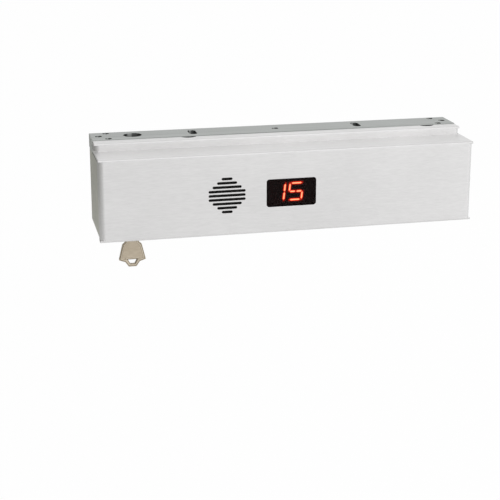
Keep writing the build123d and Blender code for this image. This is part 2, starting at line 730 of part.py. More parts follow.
def make_segments(left_names, right_names):
    """Chosen segments of both digits, leaning by the digits' slant, as thin bars on the display's face."""
    lean = tan(radians(DIGIT_SLANT))
    bars = []
    for side, names in zip(SIDES, (left_names, right_names)):
        digit_x = DISPLAY_X + side * DIGIT_PITCH / 2
        for name in names:
            outline = [(digit_x + x + z * lean, Z_WINDOW + z) for x, z in segment(name)]
            face = make_face(Polyline(*outline, close=True))
            bars.append(facing_front(face, (Y_DISPLAY - SEGMENT_THICK, Y_DISPLAY)))
    return Compound(bars)


def make_speaker_gasket():
    """Foam ring between the speaker's rim and the front."""
    ring = Pos(SPEAKER_X, Z_SPEAKER) * (Circle(SPEAKER_R) - Circle(SPEAKER_R - SPEAKER_RIM))
    return facing_front(ring, (Y_INSIDE, Y_INSIDE + GASKET_THICK))


def turned_on_speaker(outline):
    """Solid turned about the speaker's axis from points of radius and distance behind the gasket."""
    profile = make_face(Polyline(*outline, close=True))
    turned = revolve(profile, Axis.Y)
    return Pos(SPEAKER_X, Y_INSIDE + GASKET_THICK, Z_SPEAKER) * turned


def make_speaker_frame():
    """Pressed basket: a flat rim, a tapering wall and a back ring that carries the magnet."""
    inner = SPEAKER_R - SPEAKER_RIM
    return turned_on_speaker([
        (inner, 0),
        (SPEAKER_R, 0),
        (SPEAKER_R, SPEAKER_FLANGE),
        (inner + BASKET_WALL, SPEAKER_FLANGE),
        (BASKET_BACK_R + BASKET_WALL, BASKET_DEPTH),
        (DUST_CAP_R, BASKET_DEPTH),
        (DUST_CAP_R, BASKET_DEPTH - BASKET_WALL),
        (BASKET_BACK_R, BASKET_DEPTH - BASKET_WALL),
        (inner, SPEAKER_FLANGE),
    ])


def make_speaker_cone():
    """Paper cone with a domed cap in its middle, glued to the inside of the rim."""
    rim = SPEAKER_R - SPEAKER_RIM - RUN_GAP
    return turned_on_speaker([
        (rim, 0),
        (rim, CONE_THICK),
        (DUST_CAP_R, CONE_DEPTH),
        (0, CONE_DEPTH - DUST_CAP_R * 0.4),
        (0, CONE_DEPTH - DUST_CAP_R * 0.4 - CONE_THICK),
        (DUST_CAP_R, CONE_DEPTH - CONE_THICK),
        (rim - CONE_THICK, 0),
    ])


def make_speaker_magnet():
    """Magnet on the back of the basket, with a voice coil post that reaches towards the cone."""
    y_basket = Y_INSIDE + GASKET_THICK + BASKET_DEPTH
    place = (SPEAKER_X, Z_SPEAKER)
    can = crosswise(SPEAKER_MAGNET_R, (y_basket, y_basket + SPEAKER_MAGNET_HEIGHT), place)
    can = chamfer(can.faces().sort_by(Axis.Y)[-1].edges(), 0.6)
    post_r = DUST_CAP_R - JOINT_GAP
    return can + crosswise(post_r, (y_basket - BASKET_DEPTH + CONE_DEPTH + GAP, y_basket), place)


def make_speaker_clips():
    """Two clips on the cover's studs that press the speaker's rim on to its gasket."""
    clips = []
    y_rim = Y_INSIDE + GASKET_THICK + SPEAKER_FLANGE
    for side, place in zip(SIDES, speaker_stud_places()):
        inner_x = SPEAKER_X + side * (SPEAKER_R - CLIP_OVERLAP)
        outer_x = place[0] + side * CLIP_BOSS_R
        arm = block(sorted((inner_x, outer_x)), (y_rim, y_rim + CLIP_THICK), span(Z_SPEAKER, CLIP_WIDTH))
        clip = arm + crosswise(CLIP_BOSS_R, (Y_INSIDE, y_rim), place)
        clips.append(clip - crosswise(STUD_R + SCREW_GAP, (Y_INSIDE - 1, y_rim + CLIP_THICK + 1), place))
    return Compound(clips)


def make_speaker_nuts():
    """Nuts that hold the clips on their studs."""
    nuts = []
    y_low = Y_INSIDE + GASKET_THICK + SPEAKER_FLANGE + CLIP_THICK
    for place in speaker_stud_places():
        ring = RegularPolygon(NUT_ACROSS / 2, 6, major_radius=False) - Circle(STUD_R + SCREW_GAP)
        nuts.append(facing_front(Pos(*place) * ring, (y_low, y_low + NUT_HEIGHT)))
    return Compound(nuts)


def make_keyswitch_barrel():
    """Flanged barrel through the cover's bottom, bored for the plug and its head."""
    barrel = upright(BARREL_FLANGE_R, (Z_BARREL_FACE, Z_BOTTOM), KEY_AXIS)
    barrel = fillet(barrel.faces().sort_by(Axis.Z)[0].edges(), BARREL_EDGE)
    barrel += upright(BARREL_R, (Z_BOTTOM, Z_BARREL_TOP), KEY_AXIS)
    barrel -= upright(PLUG_R + RUN_GAP, (Z_BARREL_FACE - 1, Z_BARREL_TOP + 1), KEY_AXIS)
    barrel -= upright(PLUG_HEAD_R + RUN_GAP, (Z_BARREL_FACE - 1, Z_PLUG_HEAD + RUN_GAP), KEY_AXIS)
    return barrel


def make_keyswitch_washer():
    """Washer under the barrel's nut."""
    ring = Circle(WASHER_R) - Circle(BARREL_R + SCREW_GAP)
    return extrude(Pos(*KEY_AXIS, Z_FLOOR) * ring, WASHER_THICK)


def make_keyswitch_nut():
    """Hexagon nut that clamps the barrel to the cover's bottom."""
    ring = RegularPolygon(BARREL_NUT_ACROSS / 2, 6, major_radius=False) - Circle(BARREL_R + SCREW_GAP)
    return extrude(Pos(*KEY_AXIS, Z_FLOOR + WASHER_THICK) * ring, BARREL_NUT_HEIGHT)


def plug_top():
    """Height where the plug's body ends and its tail begins."""
    return Z_BARREL_TOP + RUN_GAP + CLIP_RING_THICK


def make_keyswitch_plug():
    """Turning plug with a head, a keyway and a tail that drives the contacts."""
    plug = upright(PLUG_HEAD_R, (Z_BARREL_FACE, Z_PLUG_HEAD), KEY_AXIS)
    plug += upright(PLUG_R, (Z_PLUG_HEAD, plug_top()), KEY_AXIS)
    plug += upright(PLUG_TAIL_R, (plug_top(), plug_top() + PLUG_TAIL), KEY_AXIS)
    keyway_x = span(KEY_X, BLADE_WIDTH + 2 * KEY_SLIDE_GAP)
    keyway_y = span(Y_KEY, KEY_THICK + 2 * KEY_SLIDE_GAP)
    keyway_z = (Z_BARREL_FACE - 1, Z_BARREL_FACE + BLADE_LENGTH + GAP)
    return plug - block(keyway_x, keyway_y, keyway_z)


def make_plug_clip():
    """Ring on the plug's end that stops it from dropping out of the barrel."""
    ring = Circle(CLIP_RING_R) - Circle(PLUG_R)
    return extrude(Pos(*KEY_AXIS, Z_BARREL_TOP + RUN_GAP) * ring, CLIP_RING_THICK)


def make_contact_block():
    """Closed contact block on top of the barrel, hollow round the plug's clip and tail."""
    outline = Pos(*KEY_AXIS, Z_BARREL_TOP) * RectangleRounded(BLOCK_WIDTH, BLOCK_WIDTH, BLOCK_CORNER)
    body = extrude(outline, BLOCK_HEIGHT)
    body -= upright(CLIP_RING_R + GAP, (Z_BARREL_TOP - 1, plug_top() + GAP), KEY_AXIS)
    return body - upright(PLUG_TAIL_R + RUN_GAP, (Z_BARREL_TOP, plug_top() + PLUG_TAIL + GAP), KEY_AXIS)


def make_contact_terminals():
    """Solder tags on top of the contact block."""
    z = Z_BARREL_TOP + BLOCK_HEIGHT
    tags = []
    for step in (-1, 0, 1):
        x = span(KEY_X + step * TERMINAL_LUG_PITCH, TERMINAL_LUG[0])
        tags.append(block(x, span(Y_KEY, TERMINAL_LUG[1]), (z, z + TERMINAL_LUG[2])))
    return Compound(tags)


def bow_outline():
    """Half outlines of the key's bow, from its top down: neck, shoulders, flare, waist and loop."""
    z = Z_BARREL_FACE - BOW_TOP_GAP
    right = [(BOW_TOP_WIDTH / 2, z)]
    drops = (BOW_NECK, BOW_SHOULDER, BOW_FLARE, BOW_DROP, BOW_LOOP)
    widths = (BOW_TOP_WIDTH, BOW_SHOULDER_WIDTH, BOW_WIDTH, BOW_WAIST_WIDTH, BOW_FOOT_WIDTH)
    for drop, width in zip(drops, widths):
        z -= drop
        right.append((width / 2, z))
    left = [(-x, level) for x, level in reversed(right)]
    return right + left


def blade_outline():
    """Blade above the bow: a plain back, a bitted edge and a tip that narrows."""
    low = Z_BARREL_FACE - BOW_TOP_GAP
    top = Z_BARREL_FACE + BLADE_LENGTH
    half = BLADE_WIDTH / 2
    points = [(-half, low), (-half, top - BLADE_TIP), (-half / 3, top), (half / 3, top)]
    cuts = []
    for number, depth in enumerate(BITTING_DEPTHS):
        middle = Z_BARREL_FACE + BITTING_FIRST + number * BITTING_PITCH
        low_foot, high_foot = middle - BITTING_FLAT / 2, middle + BITTING_FLAT / 2
        cuts += [(half, low_foot - depth / 2), (half - depth, low_foot)]
        cuts += [(half - depth, high_foot), (half, high_foot + depth / 2)]
    points += [(half, top - BLADE_TIP)] + cuts[::-1] + [(half, low)]
    return points


def make_key():
    """Flat key: bow with a hole in its loop, and a blade with cuts on one edge."""
    bow_points = bow_outline()
    bow = make_face(Polyline(*bow_points, close=True))
    bow = fillet(bow.vertices().sort_by(Axis.Y)[:-2], BOW_CORNER)
    z_foot = min(level for _, level in bow_points)
    hole_low = z_foot + BOW_HOLE_WALL
    hole_high = hole_low + BOW_HOLE_HEIGHT
    hole_points = [
        (-BOW_HOLE_FOOT_WIDTH / 2, hole_low),
        (BOW_HOLE_FOOT_WIDTH / 2, hole_low),
        (BOW_HOLE_TOP_WIDTH / 2, hole_high),
        (-BOW_HOLE_TOP_WIDTH / 2, hole_high),
    ]
    bow -= make_face(Polyline(*hole_points, close=True))
    blade = make_face(Polyline(*blade_outline(), close=True))
    return facing_front(Pos(KEY_X, 0) * (bow + blade), span(Y_KEY, KEY_THICK))


LIT = ("bc", "afghcd")
UNLIT = ("adefgh", "be")

PIECES = {
    "mounting_plate": make_mounting_plate(),
    "cover": make_cover(),
    "end_plate_left": make_end_plate(-1),
    "end_plate_right": make_end_plate(1),
    "end_plate_screws": make_end_plate_screws(),
    "magnet_housing": make_magnet_housing(),
    "magnet_core": make_magnet_core(),
    "magnet_coil": make_magnet_coil(),
    "magnet_potting": make_magnet_potting(),
    "hanging_screws": make_hanging_screws(),
    "cover_brackets": make_cover_brackets(),
    "bracket_screws": make_bracket_screws(),
    "cover_screws": make_cover_screws(),
    "board_standoffs": make_board_standoffs(),
    "main_board": make_main_board(),
    "board_screws": make_board_screws(),
    "relay": make_relay(),
    "controller_chip": make_controller_chip(),
    "capacitors": make_capacitors(),
    "terminal_block": make_terminal_block(),
    "display_window": make_display_window(),
    "display_module": make_display_module(),
    "display_riser": make_display_riser(),
    "lit_segments": make_segments(*LIT),
    "unlit_segments": make_segments(*UNLIT),
    "speaker_gasket": make_speaker_gasket(),
    "speaker_frame": make_speaker_frame(),
    "speaker_cone": make_speaker_cone(),
    "speaker_magnet": make_speaker_magnet(),
    "speaker_clips": make_speaker_clips(),
    "speaker_nuts": make_speaker_nuts(),
    "keyswitch_barrel": make_keyswitch_barrel(),
    "keyswitch_washer": make_keyswitch_washer(),
    "keyswitch_nut": make_keyswitch_nut(),
    "keyswitch_plug": make_keyswitch_plug(),
    "plug_clip": make_plug_clip(),
    "contact_block": make_contact_block(),
    "contact_terminals": make_contact_terminals(),
    "key": make_key(),
}

os.makedirs("parts", exist_ok=True)
for name, piece in PIECES.items():
    export_step(piece, f"parts/{name}.step")
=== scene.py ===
"""Looks of the electromagnetic door lock.

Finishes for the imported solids, lit digits, raised rims on the key, light and camera.
"""

import json
import math

import bpy
import numpy as np
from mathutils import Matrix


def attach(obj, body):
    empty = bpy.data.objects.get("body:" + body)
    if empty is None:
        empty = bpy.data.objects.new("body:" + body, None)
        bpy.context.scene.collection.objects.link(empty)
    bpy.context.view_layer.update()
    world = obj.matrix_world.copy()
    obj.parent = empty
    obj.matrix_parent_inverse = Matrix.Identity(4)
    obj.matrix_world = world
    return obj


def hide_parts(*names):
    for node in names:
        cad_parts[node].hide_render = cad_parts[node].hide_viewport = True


MM = 0.001

# Places shared with the solids, in millimetres
DISPLAY_FACE_Y = -51.3
DISPLAY_X = -3.1
DISPLAY_Z = -39.55
DISPLAY_WIDTH = 30.4
DISPLAY_HEIGHT = 19.0
DIGIT_PITCH = 14.3
DIGIT_HEIGHT = 15.2
DIGIT_WIDTH = 12.3
BAR_SPLIT = 0.25
LIT_BARS = ("bc", "afghcd")
KEY_X = -123.6
KEY_Y = -40.1
KEY_THICK = 2.2
BOW_TOP_Z = -72.45
BOW_DROPS = (3.0, 2.2, 12.2, 1.6, 3.9)
BOW_WIDTHS = (10.4, 15.0, 20.9, 11.4, 6.0)
LOOP_HOLE_WIDTHS = (3.4, 7.4)
LOOP_HOLE_HEIGHT = 3.6
LOOP_WALL = 2.2

# Lit bars, which lean less and are wider than the solids': degrees, millimetres, mesh steps
DIGIT_SLANT = math.radians(6.2)
BAR_WIDTH = 1.9
BAR_HEIGHT = 0.2
BAR_TIP = 0.02
OUTER_BAR_TRIM = 0.8
BAR_REACH = 0.995
BAR_STEPS = 25
BAR_SIDES = 20
CORE_POWER = 10

# Film on the display, in millimetres, with the places of its rim counted from its border
FILM_THICK = 0.06
FILM_MARGIN = 0.2
FILM_COLUMNS = 121
FILM_ROWS = 91
FILM_RIM_RISE = 0.26
FILM_RIM_PLACES = (0.0, 0.2, 0.6, 0.8)
GLOW_REACH = 0.95

# Raised rims on the key, in millimetres, with places across a rim in half widths
BOW_RIM_INSET = 1.2
BOW_RIM_LIFT = 0.02
LOOP_RIM_INSET = 1.0
LOOP_RIM_LIFT = 0.04
BEAD_WIDTH = 0.8
BEAD_RISE = 0.25
BEAD_EDGE = 2.45
BEAD_TOE = 1.15
BEAD_FOOT = 1.9
BEAD_STEPS = (4, 9, 5)
# Painted shade at the rims' foot and towards the key's cut edge: its reach and start
RIM_SHADE_REACH = 0.35
RIM_SHADE_START = 0.6
OUTLINE_STEPS = 10
OUTLINE_ROUNDS = 2

# Boxes round single faces, such as the walls of slots and holes: middle and half size in
# millimetres
PUNCHED_BOX = ((-22.0, -53.3, -39.5), (48.0, 0.66, 17.0))
INSIDE_BOX = ((0.0, -52.2, -39.5), (144.0, 0.5, 31.5))
NECK_BOX = ((0.0, -19.5, -4.25), (150.0, 6.0, 2.3))
LEDGE_BOX = ((0.0, -34.0, -7.5), (150.0, 21.0, 0.78))
DRILLED_BOX = ((0.0, 0.0, -6.0), (147.0, 13.0, 5.85))
FRONT_WALL_BOX = ((0.0, -13.5, -5.6), (150.0, 0.15, 5.2))
CHAMFER_BOX = ((0.0, -13.28, -0.25), (150.0, 0.23, 0.27))

# Places between which a level changes, in millimetres
NECK_END_X = (145.2, 148.4)
CUT_EDGE_X = (147.5, 148.3)
OUTER_X = 149.1
MARGIN_Y = (-45.4, -39.5)
RIM_Z = (-10.9, -9.9)
DRILLED_Z = (-8.0, 0.0)
NOTCH_Z = (-0.62, -0.5)

# Directions of faces, and the cosines between which a surface turns to face one
UP = (0, 0, 1)
FRONT = (0, -1, 0)
LEFT = (-1, 0, 0)
FOLD_WAY = (0, -0.766, 0.643)
DRILLED_WAY = (-0.1, -0.995, 0)
HIGHLIGHT_WAY = (0.22, -0.9755, 0)
TOP_TURN = (0.85, 1.0)
FOLD_TURN = (0.78, 0.92)
SHEET_END_TURN = (0.0, 0.8)
DRILLED_TURN = (0.6, 1.0)
HIGHLIGHT_TURN = (0.945, 0.995)
PLATE_END_TURN = (0.8, 1.0)
SHINE_TURN = (0.05, 0.3)
EDGE_TURN = (0.75, 0.995)

# Levels of the colour on these faces, which paint light and shade on them, and of the metal in the
# holes
PUNCHED_LEVEL = 0.04
INSIDE_LEVEL = 0.06
TOP_LEVEL = 0.965
FOLD_LEVEL = 0.84
NECK_END_LEVEL = 0.9
CUT_LEVEL = 1.28
MARGIN_LEVEL = 0.75
RIM_LEVEL = 0.15
DRILLED_LEVELS = (0.05, 0.42)
DRILLED_DEEP_LEVEL = 0.1
DRILLED_METAL = 0.0
HIGHLIGHT_LEVEL = 4.2
CHAMFER_LEVEL = 0.75
PLATE_END_LEVEL = 1.8
NOTCH_LEVEL = 0.06

# Radii of softened edges and depth of the bump, in millimetres, and ranges of the grain
PLAIN_EDGE = 0.3
CUT_EDGE = 1.3
KEY_EDGE = 0.5
EDGE_SAMPLES = 6
GRAIN_DEPTH = 0.04
JOINT_DEPTH = 0.03
GRAIN_RANGE = (0.6, 1.4)
CLOUD_RANGE = (0.3, 0.7)
CLOUD_LEVELS = (0.965, 1.035)
# Added to the colour of worn edges, which also carries a painted highlight on them
WORN_AND_LIT_EDGE_ADD = 0.02
BRUSHED_BROAD = (0.6, 0.5, 0.5)
SPECKLED_BROAD = 0.12
TURNED_BROAD = 900.0
SHEET_SQUEEZE = (900, 6, 6)
JOINT_RANGE = (0.0, 0.25)

# Light of the display, and what its lens lets through
BAR_STRENGTH = 8.5
BAR_UNEVEN = (0.85, 1.1)
GLOW_STRENGTH = 4.2
LENS_CLEAR = 0.97
LENS_INDEX = 1.12

# Camera fitted to the photograph's edges, metres and degrees
CAMERA_PLACE = (-0.2398, -0.9671, 0.2117)
CAMERA_YAW = 12.761
CAMERA_PITCH = 15.272
CAMERA_LENS = 90.45
CAMERA_SHIFT_Y = -0.10
CAMERA_CLIP = 0.01

# Stage, in metres, degrees and watts
WORLD_LEVEL = 0.62
FLOOR_Z = -0.46
FLOOR_HALF = 6.0
FLOOR_WHITE = 0.98
CARD_MIDDLE_X = -0.15
CARD_RADIUS = 1.2
CARD_TURN = (-75.0, 85.0)
CARD_STEPS = 33
CARD_FADE_Y = (-1.1, -0.1)
CARD_TOP = 0.6
LAMP_TARGET = (0, 0, -0.03)
LAMPS = {
    "key_lamp": {"place": (-0.9, -1.5, 1.6), "size": 3.8, "power": 16.0},
    "fill_lamp": {"place": (1.4, -1.2, 0.9), "size": 3.0, "power": 11.0},
}


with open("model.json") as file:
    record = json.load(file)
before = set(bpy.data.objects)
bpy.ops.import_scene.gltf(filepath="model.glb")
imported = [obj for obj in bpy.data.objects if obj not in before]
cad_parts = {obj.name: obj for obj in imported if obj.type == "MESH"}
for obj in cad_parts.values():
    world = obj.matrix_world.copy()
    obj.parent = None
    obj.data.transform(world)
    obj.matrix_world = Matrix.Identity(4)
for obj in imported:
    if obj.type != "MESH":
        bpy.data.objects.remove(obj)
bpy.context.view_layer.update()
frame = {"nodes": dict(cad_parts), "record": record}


def metres(places):
    """Lengths in metres from lengths in millimetres."""
    return tuple(place * MM for place in places)


def is_link(value):
    """Whether a value is a socket to link to."""
    return isinstance(value, bpy.types.NodeSocket)


def node(tree, kind, inputs=None, **settings):
    """Adds a shader node, sets its properties, and fills its inputs with values or links."""
    made = tree.nodes.new("ShaderNode" + kind)
    for name, value in settings.items():
        setattr(made, name, value)
    for key, value in (inputs or {}).items():
        if is_link(value):
            tree.links.new(value, made.inputs[key])
        else:
            made.inputs[key].default_value = value
    return made


def maths(tree, operation, *values):
    """Outcome of an operation on numbers."""
    return node(tree, "Math", dict(enumerate(values)), operation=operation).outputs[0]


def vectors(tree, operation, *values):
    """Outcome of an operation on vectors that gives a vector."""
    return node(tree, "VectorMath", dict(enumerate(values)), operation=operation).outputs[0]


def measure(tree, operation, *values):
    """Outcome of an operation on vectors that gives a number."""
    return node(tree, "VectorMath", dict(enumerate(values)), operation=operation).outputs["Value"]


def scaled(tree, colour, level):
    """A colour times a level."""
    return node(tree, "VectorMath", {0: colour, 3: level}, operation="SCALE").outputs[0]


def ways(tree, place):
    """The three parts of a place, along X, Y and Z."""
    return node(tree, "SeparateXYZ", {0: place}).outputs


def product(tree, *values):
    """Product of several values."""
    total = values[0]
    for value in values[1:]:
        total = maths(tree, "MULTIPLY", total, value)
    return total


def spread(tree, value, low, high, from_low=0.0, from_high=1.0):
    """A value carried from one range to another."""
    inputs = {0: value, 1: from_low, 2: from_high, 3: low, 4: high}
    return node(tree, "MapRange", inputs).outputs[0]


def mix_colours(tree, factor, first, second):
    """Blend of two colours by a factor. Each colour is a link, or its red, green and blue."""
    first, second = (end if is_link(end) else (*end, 1) for end in (first, second))
    return node(tree, "Mix", {0: factor, 6: first, 7: second}, data_type="RGBA").outputs[2]


def noise(tree, place, scale, detail=2.0, roughness=0.5):
    """Noise of a place."""
    inputs = {"Vector": place, "Scale": scale, "Detail": detail, "Roughness": roughness}
    return node(tree, "TexNoise", inputs).outputs[0]


def new_group(name, inputs, outputs):
    """Empty shader node group with named sockets, and its two end nodes."""
    group = bpy.data.node_groups.new(name, "ShaderNodeTree")
    for label, kind, value in inputs:
        socket = group.interface.new_socket(
            label, in_out="INPUT", socket_type="NodeSocket" + kind)
        if value is not None:
            socket.default_value = value
    for label, kind in outputs:
        group.interface.new_socket(label, in_out="OUTPUT", socket_type="NodeSocket" + kind)
    start = group.nodes.new("NodeGroupInput")
    end = group.nodes.new("NodeGroupOutput")
    return group, start, end


GRAIN_LAYERS = ("Streaks", "Broad", "Clouds")


def grain_group(name, inputs, make_layers):
    """Node group whose three layers of grain a function makes from the place and its inputs."""
    outputs = [(label, "Float") for label in GRAIN_LAYERS]
    group, start, end = new_group(name, [("Place", "Vector", None), *inputs], outputs)
    for label, layer in zip(GRAIN_LAYERS, make_layers(group, start.outputs)):
        group.links.new(layer, end.inputs[label])
    return group


def brushing(tree, given):
    """Streaks drawn out along X: noise of the place, scaled up less along X than across it, in a
    fine and a broad layer, with slow clouds."""
    across = given["Across"]
    squeeze = node(tree, "CombineXYZ", {0: given["Along"], 1: across, 2: across}).outputs[0]
    drawn = vectors(tree, "MULTIPLY", given["Place"], squeeze)
    fine = noise(tree, drawn, scale=1.0, detail=4.0, roughness=0.65)
    wider = vectors(tree, "MULTIPLY", drawn, BRUSHED_BROAD)
    broad = noise(tree, wider, scale=1.0, detail=3.0)
    clouds = noise(tree, given["Place"], scale=14.0, detail=3.0)
    return fine, broad, clouds


def speckle(tree, given):
    """Fine grain, the same grain much larger, and slow clouds."""
    place, size = given["Place"], given["Grain size"]
    fine = noise(tree, place, size)
    broad = noise(tree, place, product(tree, size, SPECKLED_BROAD), detail=3.0)
    clouds = noise(tree, place, scale=25.0, detail=3.0)
    return fine, broad, clouds


def turning(tree, given):
    """Fine rings about an upright axis: noise of the distance from the axis, as a lathe leaves."""
    out = vectors(tree, "SUBTRACT", given["Place"], given["Axis place"])
    radius = measure(tree, "LENGTH", vectors(tree, "MULTIPLY", out, (1, 1, 0)))
    ring = node(tree, "CombineXYZ", {0: radius, 1: ways(tree, out)[2]}).outputs[0]
    fine = noise(tree, ring, given["Rings"])
    broad = noise(tree, ring, TURNED_BROAD)
    clouds = noise(tree, given["Place"], scale=60.0, detail=3.0)
    return fine, broad, clouds


def edge_group():
    """Softened edges: the bevelled normal, and a mask that grows as it leaves the face's own."""
    inputs = [("Radius", "Float", PLAIN_EDGE * MM)]
    outputs = [("Normal", "Vector"), ("Edge", "Float")]
    group, start, end = new_group("Softened edges", inputs, outputs)
    radius = start.outputs["Radius"]
    bevel = node(group, "Bevel", {"Radius": radius}, samples=EDGE_SAMPLES).outputs[0]
    face = node(group, "NewGeometry").outputs["Normal"]
    edge = spread(group, measure(group, "DOT_PRODUCT", bevel, face), 1.0, 0.0, *EDGE_TURN)
    group.links.new(bevel, end.inputs["Normal"])
    group.links.new(edge, end.inputs["Edge"])
    return group


BRUSHING = grain_group(
    "Lengthwise brushing", [("Along", "Float", 90.0), ("Across", "Float", 1600.0)], brushing)
SPECKLE = grain_group("Speckle", [("Grain size", "Float", 2200.0)], speckle)
TURNING = grain_group(
    "Lathe turning", [("Axis place", "Vector", (0, 0, 0)), ("Rings", "Float", 5000.0)], turning)
EDGES = edge_group()


def empty_material(name):
    """New material with only an output, its tree, its surface socket and the place on a piece."""
    material = bpy.data.materials.new(name)
    material.use_nodes = True
    tree = material.node_tree
    tree.nodes.clear()
    surface = node(tree, "OutputMaterial").inputs["Surface"]
    place = node(tree, "TexCoord").outputs["Object"]
    return material, tree, surface, place


def coat(tree, surface, inputs):
    """Covers a material's surface with a shader that has the given inputs."""
    shader = node(tree, "BsdfPrincipled", inputs)
    tree.links.new(shader.outputs[0], surface)


def grained_finish(
        name, dark, light, rough, group, values, bump=0.1, edge_radius=PLAIN_EDGE * MM,
        edge_wear_and_light=0.25, shade=None, metal=0.0):
    """Finish whose colour, roughness and bump follow a grain group, with edges softened and their
    colour moved to another brightness: lifted for wear and a painted highlight, and lowered, where
    the lift is below nought, for painted shade.

    dark and light are the colours at the two ends of the grain, and rough is the range of
    roughness. shade is a function that gives the level of the colour from place to place, which
    paints light and shade on the piece.
    edge_radius and metal are values, or functions of the place where they change over a piece.
    """
    material, tree, surface, place = empty_material(name)
    radius = edge_radius(tree, place) if callable(edge_radius) else edge_radius
    grain = node(tree, "Group", {"Place": place, **values}, node_tree=group)
    edges = node(tree, "Group", {"Radius": radius}, node_tree=EDGES)
    streaks, broad, clouds = (grain.outputs[label] for label in GRAIN_LAYERS)
    relief = maths(tree, "ADD", streaks, broad)
    level = spread(tree, relief, 0.0, 1.0, *GRAIN_RANGE)
    cloud_level = spread(tree, clouds, *CLOUD_LEVELS, *CLOUD_RANGE)
    clouded = scaled(tree, mix_colours(tree, level, dark, light), cloud_level)
    # Edge colour: wear and a painted highlight where the lift is above nought, painted shade below
    # it
    worn_and_lit_edge = tuple(min(1.0, part * (1 + edge_wear_and_light) + WORN_AND_LIT_EDGE_ADD) for part in light)
    colour = mix_colours(tree, edges.outputs["Edge"], clouded, worn_and_lit_edge)
    if shade:
        colour = scaled(tree, colour, shade(tree, place))
    height = node(tree, "Bump", {
        "Strength": bump,
        "Distance": GRAIN_DEPTH * MM,
        "Height": relief,
        "Normal": edges.outputs["Normal"],
    })
    coat(tree, surface, {
        "Base Color": colour,
        "Metallic": metal(tree, place) if callable(metal) else metal,
        "Roughness": spread(tree, level, rough[1], rough[0]),
        "Normal": height.outputs[0],
    })
    return material


def inside(tree, place, box):
    """One inside a box given by its middle and half sizes in millimetres, and else nothing."""
    middle, half = box
    out = vectors(tree, "SUBTRACT", place, metres(middle))
    apart = ways(tree, vectors(tree, "ABSOLUTE", out))
    return product(
        tree, *(maths(tree, "LESS_THAN", way, reach) for way, reach in zip(apart, metres(half))))


def from_middle(tree, place):
    """Distance from the lock's middle along its length."""
    return maths(tree, "ABSOLUTE", ways(tree, place)[0])


def facing(tree, way, low, high, turn):
    """A level that runs from low to high as the surface turns to face a direction."""
    normal = node(tree, "NewGeometry").outputs["Normal"]
    return spread(tree, measure(tree, "DOT_PRODUCT", normal, way), low, high, *turn)


def cover_painted_shading(tree, place):
    """Level of the cover's colour, which paints light and shade on it.

    It is full on the front. Painted shade makes it a little lower on faces that look up or up and
    forward and on the neck's rounded ends. A painted highlight makes it higher on the ledge's cut
    ends. Painted shade makes it dark on the walls of the grille slots and the window and on the
    inside of the front.
    """
    punched = spread(tree, inside(tree, place, PUNCHED_BOX), 1.0, PUNCHED_LEVEL)
    inner = spread(tree, inside(tree, place, INSIDE_BOX), 1.0, INSIDE_LEVEL)
    tops = facing(tree, UP, 1.0, TOP_LEVEL, TOP_TURN)
    folds = facing(tree, FOLD_WAY, 1.0, FOLD_LEVEL, FOLD_TURN)
    along = from_middle(tree, place)
    neck_end = spread(tree, along, 1.0, NECK_END_LEVEL, *metres(NECK_END_X))
    neck = spread(tree, inside(tree, place, NECK_BOX), 1.0, neck_end)
    cut_end = product(
        tree, inside(tree, place, LEDGE_BOX), facing(tree, UP, 1.0, 0.0, SHEET_END_TURN),
        maths(tree, "GREATER_THAN", along, OUTER_X * MM))
    return product(tree, punched, inner, tops, folds, neck, spread(tree, cut_end, 1.0, CUT_LEVEL))


def cover_edges(tree, place):
    """Radius of the cover's softened edges: small, and larger on the cut edges at both ends."""
    along = from_middle(tree, place)
    return spread(tree, along, PLAIN_EDGE * MM, CUT_EDGE * MM, *metres(CUT_EDGE_X))


def end_plate_painted_shade(tree, place):
    """Level of an end plate's colour, which paints shade on it: lower along its front margin
    behind the cover's return, and dark on the upper rim under the ledge."""
    _, y, z = ways(tree, place)
    margin = spread(tree, y, MARGIN_LEVEL, 1.0, *metres(MARGIN_Y))
    rim = spread(tree, z, 1.0, RIM_LEVEL, *metres(RIM_Z))
    return product(tree, margin, rim)


def plate_painted_shading(tree, place):
    """Level of the plate's colour, which paints light and shade on it: full on its faces.

    In its holes painted shade makes it fade with depth and to both sides of the wall that faces
    the front, with a painted highlight beside the wall's middle. Painted shade makes the front
    chamfer a little lower, and painted light makes the left end higher. The front wall, which
    shows only in the band's two notches, falls off below the top in painted shade.
    """
    rise = ways(tree, place)[2]
    wall = facing(tree, DRILLED_WAY, *DRILLED_LEVELS, DRILLED_TURN)
    highlight = facing(tree, HIGHLIGHT_WAY, 1.0, HIGHLIGHT_LEVEL, HIGHLIGHT_TURN)
    deep = spread(tree, rise, DRILLED_DEEP_LEVEL, 1.0, *metres(DRILLED_Z))
    in_hole = product(tree, wall, highlight, deep)
    holes = spread(tree, inside(tree, place, DRILLED_BOX), 1.0, in_hole)
    chamfer = spread(tree, inside(tree, place, CHAMFER_BOX), 1.0, CHAMFER_LEVEL)
    left_end = facing(tree, LEFT, 1.0, PLATE_END_LEVEL, PLATE_END_TURN)
    in_notch = spread(tree, rise, NOTCH_LEVEL, 1.0, *metres(NOTCH_Z))
    notches = spread(tree, inside(tree, place, FRONT_WALL_BOX), 1.0, in_notch)
    return product(tree, holes, chamfer, left_end, notches)


def plate_metal(tree, place):
    """Bright metal on the plate's faces and dull walls in its holes."""
    return spread(tree, inside(tree, place, DRILLED_BOX), 1.0, DRILLED_METAL)


def smoked_lens():
    """Dark tinted plastic that lets the lit digits through."""
    material, tree, surface, place = empty_material("smoked_lens")
    haze = noise(tree, place, scale=160.0, detail=4.0)
    coat(tree, surface, {
        "Base Color": mix_colours(tree, haze, (0.17, 0.103, 0.103), (0.19, 0.116, 0.116)),
        "Roughness": spread(tree, haze, 0.01, 0.05),
        "Transmission Weight": LENS_CLEAR,
        "IOR": LENS_INDEX,
    })
    return material


